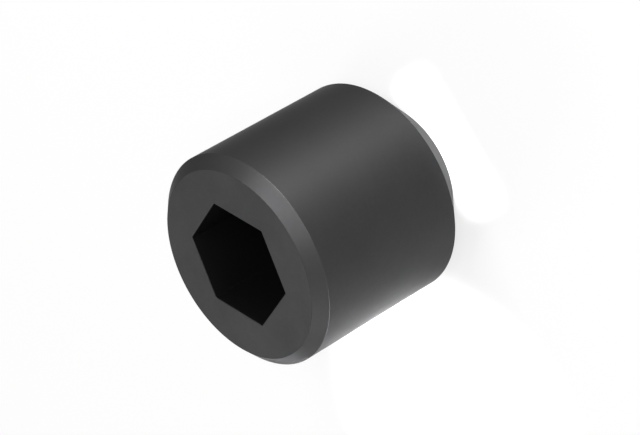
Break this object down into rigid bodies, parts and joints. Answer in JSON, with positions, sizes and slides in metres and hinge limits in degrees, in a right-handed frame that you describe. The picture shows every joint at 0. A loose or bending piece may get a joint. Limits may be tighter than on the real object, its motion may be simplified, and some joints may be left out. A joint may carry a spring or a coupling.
{
  "type": "grub screw",
  "caption": "Headless grub screw with a hexagon socket in one end, a chamfered face and a flat point at the other end.",
  "frame": {"origin": "middle of the flat point, on the surface that the screw stands on", "axes": "+Z along the screw's axis from the flat point to the socket face; +X through a corner of the hexagon socket"},
  "size_m": [0.006, 0.006, 0.006],
  "materials": {
    "black_steel": "black oxide, satin"
  },
  "bodies": {
    "root": {"grub_screw": "black_steel"}
  },
  "joints": []
}
